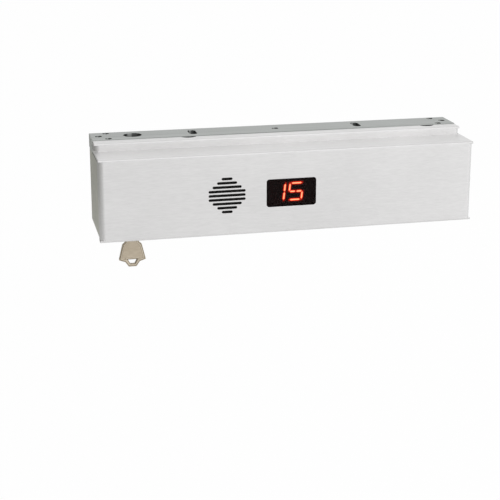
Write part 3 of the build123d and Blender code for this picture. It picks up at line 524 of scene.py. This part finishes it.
def lit_bar():
    """Glowing segment: yellow in its core and red at its rim, by the bar's own core attribute.
    It shines only to the front."""
    material, tree, surface, place = empty_material("lit_bar")
    core = node(tree, "Attribute", attribute_name="core").outputs["Fac"]
    grain = noise(tree, place, scale=1500.0)
    uneven = product(tree, core, spread(tree, grain, *BAR_UNEVEN))
    glow = mix_colours(tree, uneven, (0.85, 0.036, 0.014), (1.0, 0.92, 0.44))
    coat(tree, surface, {
        "Base Color": (0.5, 0.04, 0.02, 1),
        "Roughness": 0.4,
        "Emission Color": scaled(tree, glow, facing(tree, FRONT, 0.0, 1.0, SHINE_TURN)),
        "Emission Strength": BAR_STRENGTH,
    })
    return material


def display_film():
    """Black face of the display, with red light that bleeds round each lit bar by the glow
    attribute."""
    material, tree, surface, place = empty_material("display_film")
    bleed = node(tree, "Attribute", attribute_name="glow").outputs["Fac"]
    grain = noise(tree, place, scale=2500.0)
    coat(tree, surface, {
        "Base Color": mix_colours(tree, grain, (0.010, 0.004, 0.004), (0.016, 0.007, 0.007)),
        "Roughness": spread(tree, grain, 0.55, 0.75),
        "Emission Color": mix_colours(tree, bleed, (0, 0, 0), (0.75, 0.03, 0.008)),
        "Emission Strength": GLOW_STRENGTH,
    })
    return material


def rubbed_rim():
    """Raised rim of the key, worn bright on its crown, with painted shade in the line at its foot
    and towards the key's cut edge, carried by a point attribute."""
    material, tree, surface, place = empty_material("rubbed_key_rim")
    rim_shade = node(tree, "Attribute", attribute_name="rim_shade").outputs["Fac"]
    speckles = node(tree, "Group", {"Place": place, "Grain size": 2500.0}, node_tree=SPECKLE)
    grain = speckles.outputs["Streaks"]
    bright = mix_colours(tree, grain, (0.55, 0.485, 0.385), (0.66, 0.59, 0.48))
    coat(tree, surface, {
        # Painted shade: dark brown at the rim's foot and towards the cut edge
        "Base Color": mix_colours(tree, rim_shade, bright, (0.20, 0.155, 0.10)),
        "Metallic": 1.0,
        "Roughness": spread(tree, grain, 0.28, 0.42),
    })
    return material


def lamination_iron():
    """Ground edges of thin iron sheets stacked along X: fine dark joints between slightly
    different sheets."""
    material, tree, surface, place = empty_material("lamination_iron")
    waves = node(
        tree, "TexWave", {"Vector": place, "Scale": 320.0, "Distortion": 0.3},
        wave_type="BANDS", bands_direction="X")
    joint = spread(tree, waves.outputs[1], 0.0, 1.0, *JOINT_RANGE)
    squeezed = vectors(tree, "MULTIPLY", place, SHEET_SQUEEZE)
    each = noise(tree, squeezed, scale=1.0, detail=1.0)
    sheet = mix_colours(tree, each, (0.30, 0.30, 0.31), (0.46, 0.46, 0.47))
    relief = {"Strength": 0.15, "Distance": JOINT_DEPTH * MM, "Height": joint}
    coat(tree, surface, {
        "Base Color": mix_colours(tree, joint, (0.16, 0.155, 0.15), sheet),
        "Metallic": 1.0,
        "Roughness": spread(tree, each, 0.32, 0.5),
        "Normal": node(tree, "Bump", relief).outputs[0],
    })
    return material


FINISHES = {
    "brushed_cover": grained_finish(
        "brushed_cover_steel", (0.692, 0.687, 0.685), (0.762, 0.757, 0.755), (0.36, 0.46),
        BRUSHING, {"Along": 220.0, "Across": 1900.0}, bump=0.08, edge_radius=cover_edges,
        edge_wear_and_light=0.02, shade=cover_painted_shading, metal=1.0),
    "grey_plate": grained_finish(
        "milled_plate_aluminium", (0.31, 0.325, 0.315), (0.46, 0.475, 0.465), (0.40, 0.56),
        BRUSHING, {"Along": 5.0, "Across": 1100.0}, bump=0.16, edge_wear_and_light=0.35,
        shade=plate_painted_shading, metal=plate_metal),
    "end_metal": grained_finish(
        "end_plate_aluminium", (0.61, 0.61, 0.555), (0.705, 0.705, 0.645), (0.40, 0.55),
        SPECKLE, {"Grain size": 900.0}, bump=0.10, edge_wear_and_light=0.3,
        shade=end_plate_painted_shade, metal=1.0),
    "magnet_case": grained_finish(
        "magnet_case_aluminium", (0.56, 0.57, 0.58), (0.66, 0.67, 0.68), (0.32, 0.48),
        BRUSHING, {"Along": 40.0, "Across": 1800.0}, bump=0.12, metal=1.0),
    "core_iron": lamination_iron(),
    "coil_wire": grained_finish(
        "enamelled_copper", (0.40, 0.13, 0.05), (0.55, 0.22, 0.09), (0.25, 0.4),
        BRUSHING, {"Along": 3.0, "Across": 2600.0}, bump=0.5, metal=1.0),
    "resin": grained_finish(
        "cast_resin", (0.012, 0.012, 0.014), (0.028, 0.028, 0.031), (0.22, 0.45),
        SPECKLE, {"Grain size": 300.0}, bump=0.35, edge_wear_and_light=0.4),
    "screw_steel": grained_finish(
        "zinc_plated_steel", (0.50, 0.50, 0.51), (0.64, 0.64, 0.65), (0.25, 0.42),
        SPECKLE, {"Grain size": 1800.0}, bump=0.08, edge_wear_and_light=0.3, metal=1.0),
    "board": grained_finish(
        "green_board", (0.012, 0.10, 0.035), (0.022, 0.17, 0.06), (0.30, 0.5),
        SPECKLE, {"Grain size": 1200.0}),
    "black_plastic": grained_finish(
        "moulded_black_plastic", (0.012, 0.012, 0.012), (0.03, 0.03, 0.03), (0.42, 0.62),
        SPECKLE, {"Grain size": 2600.0}, bump=0.3),
    "can_metal": grained_finish(
        "drawn_can", (0.58, 0.59, 0.61), (0.72, 0.73, 0.75), (0.22, 0.36),
        SPECKLE, {"Grain size": 1500.0}, bump=0.05, metal=1.0),
    "terminal_green": grained_finish(
        "green_terminal_plastic", (0.03, 0.22, 0.06), (0.05, 0.32, 0.10), (0.35, 0.5),
        SPECKLE, {"Grain size": 2600.0}, bump=0.2),
    "dark_lens": smoked_lens(),
    "lit_red": lit_bar(),
    "unlit_red": grained_finish(
        "unlit_bar", (0.022, 0.006, 0.006), (0.035, 0.010, 0.010), (0.35, 0.5),
        SPECKLE, {"Grain size": 3000.0}),
    "foam": grained_finish(
        "black_foam", (0.008, 0.008, 0.008), (0.022, 0.022, 0.022), (0.8, 0.95),
        SPECKLE, {"Grain size": 1600.0}, bump=0.9),
    "paper_cone": grained_finish(
        "speaker_paper", (0.010, 0.010, 0.010), (0.022, 0.021, 0.020), (0.7, 0.9),
        SPECKLE, {"Grain size": 900.0}, bump=0.6),
    "switch_chrome": grained_finish(
        "bright_switch_plate", (0.60, 0.60, 0.59), (0.74, 0.74, 0.73), (0.14, 0.28),
        TURNING, {"Axis place": metres((KEY_X, KEY_Y, 0))}, bump=0.12, edge_wear_and_light=0.2, metal=1.0),
    "tag_brass": grained_finish(
        "tinned_brass", (0.50, 0.38, 0.17), (0.62, 0.49, 0.24), (0.28, 0.42),
        SPECKLE, {"Grain size": 1500.0}, bump=0.08, metal=1.0),
    # The key's edges are lowered in colour: painted shade, as on shadowed side walls
    "key_nickel": grained_finish(
        "nickel_silver_key", (0.455, 0.388, 0.295), (0.548, 0.475, 0.372), (0.30, 0.48),
        BRUSHING, {"Along": 300.0, "Across": 900.0}, bump=0.18, edge_radius=KEY_EDGE * MM,
        edge_wear_and_light=-0.45, metal=1.0),
}


def dress(piece, finish):
    """Gives a piece one finish."""
    piece.data.materials.clear()
    piece.data.materials.append(finish)


for part in frame["record"]["subparts"]:
    dress(frame["nodes"][part["node"]], FINISHES[part["material_slot"]])


def new_piece(name, points, faces, body, finish, attribute):
    """Mesh piece from points in millimetres, riding on a body and dressed in a finish, with a
    named value at each point."""
    mesh = bpy.data.meshes.new(name)
    mesh.from_pydata(np.asarray(points) * MM, [], [tuple(face) for face in faces])
    mesh.polygons.foreach_set("use_smooth", np.ones(len(mesh.polygons), bool))
    label, values = attribute
    layer = mesh.attributes.new(label, "FLOAT", "POINT")
    layer.data.foreach_set("value", np.asarray(values, np.float32))
    piece = bpy.data.objects.new(name, mesh)
    bpy.context.scene.collection.objects.link(piece)
    dress(piece, finish)
    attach(piece, body)
    return piece


def grid_faces(rows, columns, rows_closed=False, columns_closed=False):
    """Quads between neighbours of a grid of points numbered row by row, wrapped where a way is
    closed."""
    row = np.arange(rows if rows_closed else rows - 1)
    column = np.arange(columns if columns_closed else columns - 1)
    i, j = np.meshgrid(row, column, indexing="ij")
    this_row, next_row = i * columns, (i + 1) % rows * columns
    j_next = (j + 1) % columns
    corners = [this_row + j, this_row + j_next, next_row + j_next, next_row + j]
    return np.stack(corners, -1).reshape(-1, 4)


def bar_spines():
    """Rows for the lit bars of both digits before the slant: X and Z of the middle, half length,
    and one for a bar that lies flat."""
    across = (DIGIT_WIDTH - BAR_WIDTH) / 2
    up = (DIGIT_HEIGHT - BAR_WIDTH) / 2
    places = {
        "a": (0, up), "b": (across, up / 2), "c": (across, -up / 2), "d": (0, -up),
        "e": (-across, -up / 2), "f": (-across, up / 2), "g": (-across / 2, 0),
        "h": (across / 2, 0),
    }
    outer = across - OUTER_BAR_TRIM
    flat_halves = {"a": outer, "d": outer, "g": across / 2, "h": across / 2}
    rows = []
    for side, names in zip((-1, 1), LIT_BARS):
        for name in names:
            x, z = places[name]
            half = flat_halves.get(name, up / 2) - BAR_SPLIT
            rows.append((x + side * DIGIT_PITCH / 2, z, half, name in flat_halves))
    return np.array(rows, float)


def slanted(x, z):
    """Display places of upright digit places: X grows with height by the slant's tangent."""
    return DISPLAY_X + x + z * math.tan(DIGIT_SLANT), DISPLAY_Z + z


def make_lit_bars():
    """Pointed tubes, one for each lit bar.

    Along a bar the half width is the least of a constant and the distance to its tip. Round it
    the section is a flat ellipse, as wide as the cosine and as deep as the sine. Its crown
    carries the core attribute, the tenth power of the sine.
    """
    along = np.sin(np.linspace(-BAR_REACH, BAR_REACH, BAR_STEPS) * np.pi / 2)
    turn = np.arange(BAR_SIDES) * 2 * np.pi / BAR_SIDES
    quads = grid_faces(BAR_STEPS, BAR_SIDES, columns_closed=True)
    ring = np.arange(BAR_SIDES)
    caps = [ring, ring[::-1] + (BAR_STEPS - 1) * BAR_SIDES]
    points, faces, core = [], [], []
    for x, z, half, flat in bar_spines():
        width = np.minimum(BAR_WIDTH / 2, half * (1 - np.abs(along)) + BAR_TIP)
        lengthwise = np.repeat((half * along)[:, None], BAR_SIDES, 1)
        crosswise = width[:, None] * np.cos(turn)
        depth = np.repeat((BAR_HEIGHT * (0.5 + 0.5 * np.sin(turn)))[None, :], BAR_STEPS, 0)
        dx, dz = (lengthwise, crosswise) if flat else (crosswise, lengthwise)
        px, pz = slanted(x + dx, z + dz)
        bar = np.stack([px, DISPLAY_FACE_Y - FILM_THICK - depth, pz], -1).reshape(-1, 3)
        crown = np.clip(np.sin(turn), 0, 1) ** CORE_POWER
        first = sum(len(others) for others in points)
        sides = quads if flat else quads[:, ::-1]
        ends = [cap[::-1] for cap in caps] if flat else caps
        faces += [face + first for face in (*sides, *ends)]
        points.append(bar)
        core.append((crown * np.minimum(1, width / (BAR_WIDTH / 2))[:, None]).ravel())
    piece = new_piece(
        "lit_bars", np.concatenate(points), faces, "lock", FINISHES["lit_red"],
        ("core", np.concatenate(core)))
    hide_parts("lit_segments")


def make_display_face():
    """Film on the display, a grid in X and Z.

    Its glow attribute falls off with the square of the distance to the nearest lit bar's middle
    line. Its depth goes by the distance to its border, where it rises in a low rim and comes
    down to the display's face.
    """
    half_width = DISPLAY_WIDTH / 2 - FILM_MARGIN
    half_height = DISPLAY_HEIGHT / 2 - FILM_MARGIN
    from_x, from_z = np.meshgrid(
        np.linspace(-half_width, half_width, FILM_COLUMNS),
        np.linspace(-half_height, half_height, FILM_ROWS))
    upright_x = from_x - from_z * math.tan(DIGIT_SLANT)
    bar_x, bar_z, half, flat = (column[:, None, None] for column in bar_spines().T)
    dx, dz = np.abs(upright_x - bar_x), np.abs(from_z - bar_z)
    past_x = np.where(flat > 0, np.maximum(dx - half, 0), dx)
    past_z = np.where(flat > 0, dz, np.maximum(dz - half, 0))
    nearest = np.sqrt(past_x**2 + past_z**2).min(0)
    glow = np.exp(-(nearest / GLOW_REACH) ** 2)
    to_border = np.minimum(half_width - np.abs(from_x), half_height - np.abs(from_z))
    rim_depths = (0.0, FILM_RIM_RISE, FILM_RIM_RISE, FILM_THICK)
    depth = np.interp(to_border, FILM_RIM_PLACES, rim_depths)
    points = np.stack([DISPLAY_X + from_x, DISPLAY_FACE_Y - depth, DISPLAY_Z + from_z], -1)
    new_piece(
        "display_face", points.reshape(-1, 3), grid_faces(FILM_ROWS, FILM_COLUMNS), "lock",
        display_film(), ("glow", glow.ravel()))


def bow_outline():
    """Corners of the key's bow in X and Z about its own middle, clockwise from its top right."""
    z = BOW_TOP_Z - np.cumsum((0.0, *BOW_DROPS))
    half = np.array((BOW_WIDTHS[0], *BOW_WIDTHS)) / 2
    right = np.stack([half, z], 1)
    left = np.stack([-half, z], 1)[::-1]
    return np.concatenate([right, left])


def loop_outline():
    """Corners of the hole in the bow's loop, clockwise from its top right."""
    low = BOW_TOP_Z - sum(BOW_DROPS) + LOOP_WALL
    high = low + LOOP_HOLE_HEIGHT
    foot, top = (width / 2 for width in LOOP_HOLE_WIDTHS)
    return np.array([(top, high), (foot, low), (-foot, low), (-top, high)])


def directions(steps):
    """Steps scaled to a length of one."""
    return steps / np.linalg.norm(steps, axis=1)[:, None]


def right_of(ways_along):
    """Directions a quarter turn clockwise from the given ones."""
    return np.stack([ways_along[:, 1], -ways_along[:, 0]], 1)


def inset(outline, distance):
    """Closed outline moved inwards: each corner slides along its mitre, the half angle of its
    two edges."""
    before = right_of(directions(outline - np.roll(outline, 1, 0)))
    after = right_of(directions(np.roll(outline, -1, 0) - outline))
    mitre = (before + after) / (1 + (before * after).sum(1))[:, None]
    return outline + distance * mitre


def rounded(outline):
    """Closed outline cut into even steps, with corners eased by averaging each point with its
    neighbours."""
    step = np.linspace(0, 1, OUTLINE_STEPS, endpoint=False)[None, :, None]
    after = np.roll(outline, -1, 0)
    fine = (outline[:, None, :] * (1 - step) + after[:, None, :] * step).reshape(-1, 2)
    for _ in range(OUTLINE_ROUNDS):
        fine = (np.roll(fine, 1, 0) + 2 * fine + np.roll(fine, -1, 0)) / 4
    return fine


def bead(path, outward, foot_side, lift):
    """Half round ridge carried along a closed path in X and Z, on the key's back or front face.

    Across it the rise is the square root of one minus the square of the place across. A thin
    foot runs on over the face at both sides, with painted shade where the ridge ends and towards
    the key's cut edge.
    """
    spans = ((-BEAD_EDGE, -BEAD_TOE), (-1, 1), (BEAD_TOE, BEAD_FOOT))
    across = np.concatenate([np.linspace(*span, n) for span, n in zip(spans, BEAD_STEPS)])
    rise = np.sqrt(np.clip(1 - across**2, 0, 1)) * BEAD_RISE + lift
    rise[[0, -1]] = -lift
    at_toe = np.exp(-(((across - BEAD_TOE) / RIM_SHADE_REACH) ** 2))
    rim_shade = np.where(across > 0, at_toe, np.clip(-across - RIM_SHADE_START, 0, 1))
    tangent = directions(np.roll(path, -1, 0) - np.roll(path, 1, 0))
    sideways = foot_side * right_of(tangent)
    flat = path[:, None, :] + sideways[:, None, :] * (across * BEAD_WIDTH / 2)[None, :, None]
    face_y = KEY_Y + outward * KEY_THICK / 2
    y = np.repeat((face_y + outward * rise)[None, :], len(path), 0)
    points = np.stack([KEY_X + flat[..., 0], y, flat[..., 1]], -1).reshape(-1, 3)
    quads = grid_faces(len(path), len(across), rows_closed=True)
    quads = quads if outward * foot_side < 0 else quads[:, ::-1]
    return points, quads, np.tile(rim_shade, len(path))


def make_key_beads():
    """Raised rims round the bow and round its hole, on both faces of the key."""
    rims = [
        (rounded(inset(bow_outline(), BOW_RIM_INSET)), 1, BOW_RIM_LIFT),
        (rounded(inset(loop_outline(), -LOOP_RIM_INSET)), -1, LOOP_RIM_LIFT),
    ]
    points, faces, rim_shade, count = [], [], [], 0
    for outward in (-1, 1):
        for rim, foot_side, lift in rims:
            ridge, quads, dark = bead(rim, outward, foot_side, lift)
            points.append(ridge)
            faces += [quad + count for quad in quads]
            rim_shade.append(dark)
            count += len(ridge)
    new_piece(
        "key_beads", np.concatenate(points), faces, "key", rubbed_rim(),
        ("rim_shade", np.concatenate(rim_shade)))


make_lit_bars()
make_display_face()
make_key_beads()


def seen_white(tree):
    """One where the ray comes from the camera, a gloss reflection or a see-through surface, and
    else nothing."""
    path = node(tree, "LightPath").outputs
    seen = maths(tree, "MAXIMUM", path["Is Camera Ray"], path["Is Glossy Ray"])
    return maths(tree, "MAXIMUM", seen, path["Is Transmission Ray"])


def set_world():
    """White surroundings, at full strength where they are seen and at a lower level as light."""
    world = bpy.data.worlds.new("studio")
    bpy.context.scene.world = world
    world.use_nodes = True
    tree = world.node_tree
    tree.nodes.clear()
    strength = spread(tree, seen_white(tree), WORLD_LEVEL, 1.0)
    background = node(tree, "Background", {"Color": (1, 1, 1, 1), "Strength": strength})
    output = node(tree, "OutputWorld")
    tree.links.new(background.outputs[0], output.inputs["Surface"])


def stage_sheet(name, points, faces, finish):
    """Stage piece from points in metres."""
    mesh = bpy.data.meshes.new(name)
    mesh.from_pydata(points, [], [tuple(face) for face in faces])
    sheet = bpy.data.objects.new(name, mesh)
    bpy.context.scene.collection.objects.link(sheet)
    dress(sheet, finish)
    return sheet


def pale_floor():
    """Pale floor that is seen almost white and keeps a soft shadow."""
    material, tree, surface, place = empty_material("pale_floor")
    grain = noise(tree, place, scale=30.0, detail=3.0)
    colour = mix_colours(tree, grain, (0.86, 0.86, 0.86), (0.9, 0.9, 0.9))
    plain = node(tree, "BsdfDiffuse", {"Color": colour}).outputs[0]
    white = node(tree, "Emission", {"Color": (1, 1, 1, 1), "Strength": 1.0}).outputs[0]
    share = product(tree, seen_white(tree), FLOOR_WHITE)
    both = node(tree, "MixShader", {0: share, 1: plain, 2: white})
    tree.links.new(both.outputs[0], surface)
    return material


def grey_card():
    """Grey card that gives bright metal something to reflect, paler towards the front."""
    material, tree, surface, place = empty_material("grey_card")
    grain = noise(tree, place, scale=20.0)
    grey = mix_colours(tree, grain, (0.40, 0.40, 0.375), (0.46, 0.46, 0.435))
    near_front = spread(tree, ways(tree, place)[1], 1.0, 0.0, *CARD_FADE_Y)
    faded = mix_colours(tree, near_front, grey, (0.95, 0.95, 0.94))
    shader = node(tree, "BsdfDiffuse", {"Color": faded})
    tree.links.new(shader.outputs[0], surface)
    return material


def floor():
    """Level square under the lock."""
    corners = ((-1, -1), (1, -1), (1, 1), (-1, 1))
    points = [(x * FLOOR_HALF, y * FLOOR_HALF, FLOOR_Z) for x, y in corners]
    stage_sheet("floor", points, [(0, 1, 2, 3)], pale_floor())


def side_card():
    """Upright card bent round the left end: an arc of one radius from left of the front to the
    back, by a height."""
    turn, height = np.meshgrid(
        np.radians(np.linspace(*CARD_TURN, CARD_STEPS)), (FLOOR_Z, CARD_TOP), indexing="ij")
    x = CARD_MIDDLE_X - CARD_RADIUS * np.cos(turn)
    y = CARD_RADIUS * np.sin(turn)
    points = np.stack([x, y, height], -1).reshape(-1, 3)
    card = stage_sheet("side_card", points, grid_faces(CARD_STEPS, 2), grey_card())
    card.visible_camera = False


def soft_lamp(name, place, size, power):
    """Square area lamp that faces the lock."""
    lamp = bpy.data.lights.new(name, "AREA")
    lamp.shape = "SQUARE"
    lamp.size = size
    lamp.energy = power
    piece = bpy.data.objects.new(name, lamp)
    bpy.context.scene.collection.objects.link(piece)
    piece.location = place
    x, y, z = np.subtract(LAMP_TARGET, place)
    turn = math.atan2(y, x) - math.pi / 2
    fall = math.atan2(math.hypot(x, y), -z)
    piece.rotation_euler = (fall, 0, turn)


set_world()
floor()
side_card()
for lamp_name, settings in LAMPS.items():
    soft_lamp(lamp_name, **settings)

camera = bpy.data.objects.new("camera", bpy.data.cameras.new("camera"))
bpy.context.scene.collection.objects.link(camera)
camera.location = CAMERA_PLACE
camera.rotation_euler = (math.radians(90 - CAMERA_PITCH), 0, -math.radians(CAMERA_YAW))
camera.data.lens = CAMERA_LENS
camera.data.shift_y = CAMERA_SHIFT_Y
camera.data.clip_start = CAMERA_CLIP
bpy.context.scene.camera = camera
bpy.context.scene.view_settings.view_transform = "Standard"
